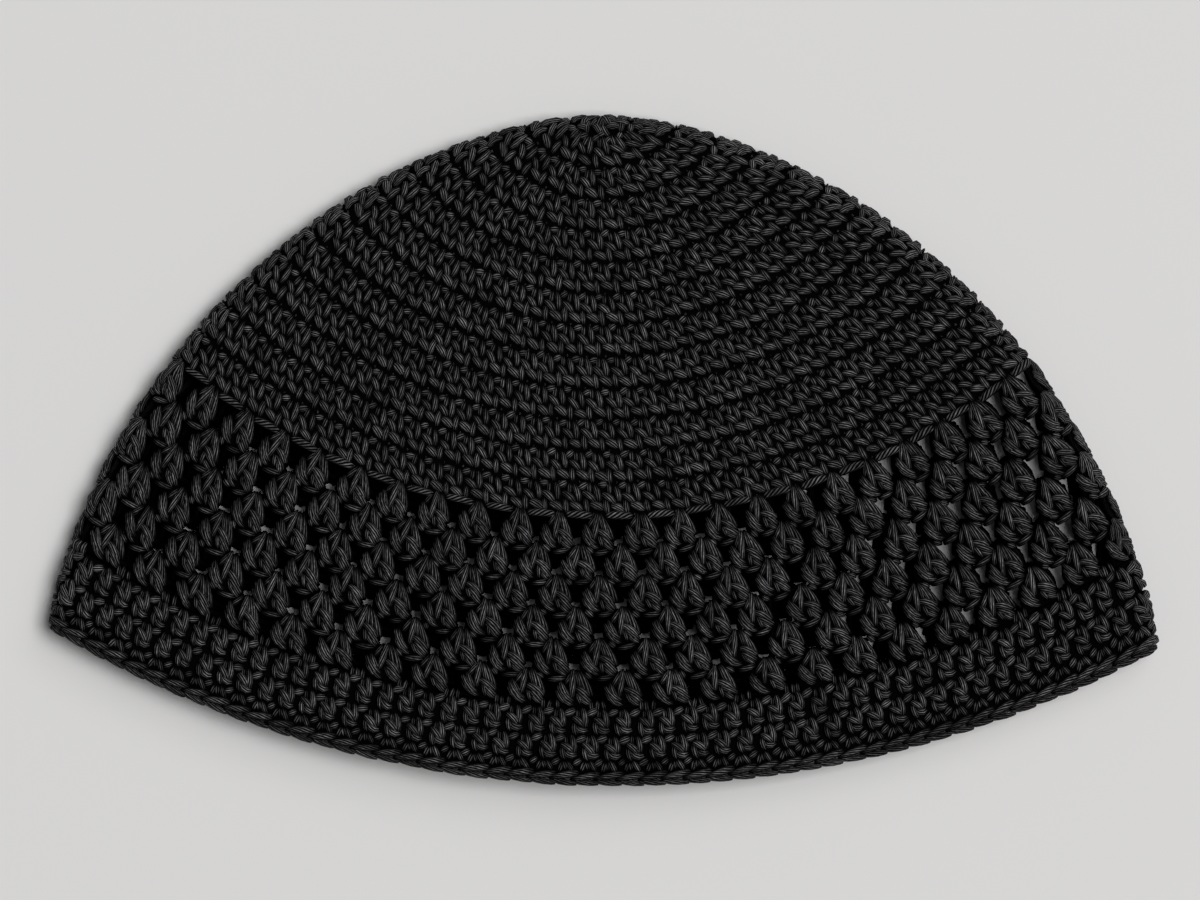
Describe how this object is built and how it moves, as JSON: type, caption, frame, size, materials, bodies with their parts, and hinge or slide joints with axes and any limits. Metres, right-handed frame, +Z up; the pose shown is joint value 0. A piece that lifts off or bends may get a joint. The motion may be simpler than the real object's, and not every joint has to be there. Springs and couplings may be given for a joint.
{
  "type": "crocheted kufi",
  "caption": "Soft brimless crocheted cap lying folded flat, with a dense ribbed crown, an openwork band, a firm rim and a chain edge around an open mouth for the head.",
  "frame": {"origin": "under the middle of the cap, on the surface that it lies on", "axes": "+X along the mouth, +Y from the mouth towards the apex of the crown, +Z up from the surface"},
  "size_m": [0.2676, 0.1608, 0.0138],
  "materials": {
    "black_cord": "soft black crochet cord with a faint sheen along its plies"
  },
  "bodies": {
    "root": {"crown": "black_cord", "openwork_band": "black_cord", "rim_band": "black_cord", "edge_chain": "black_cord"}
  },
  "joints": []
}
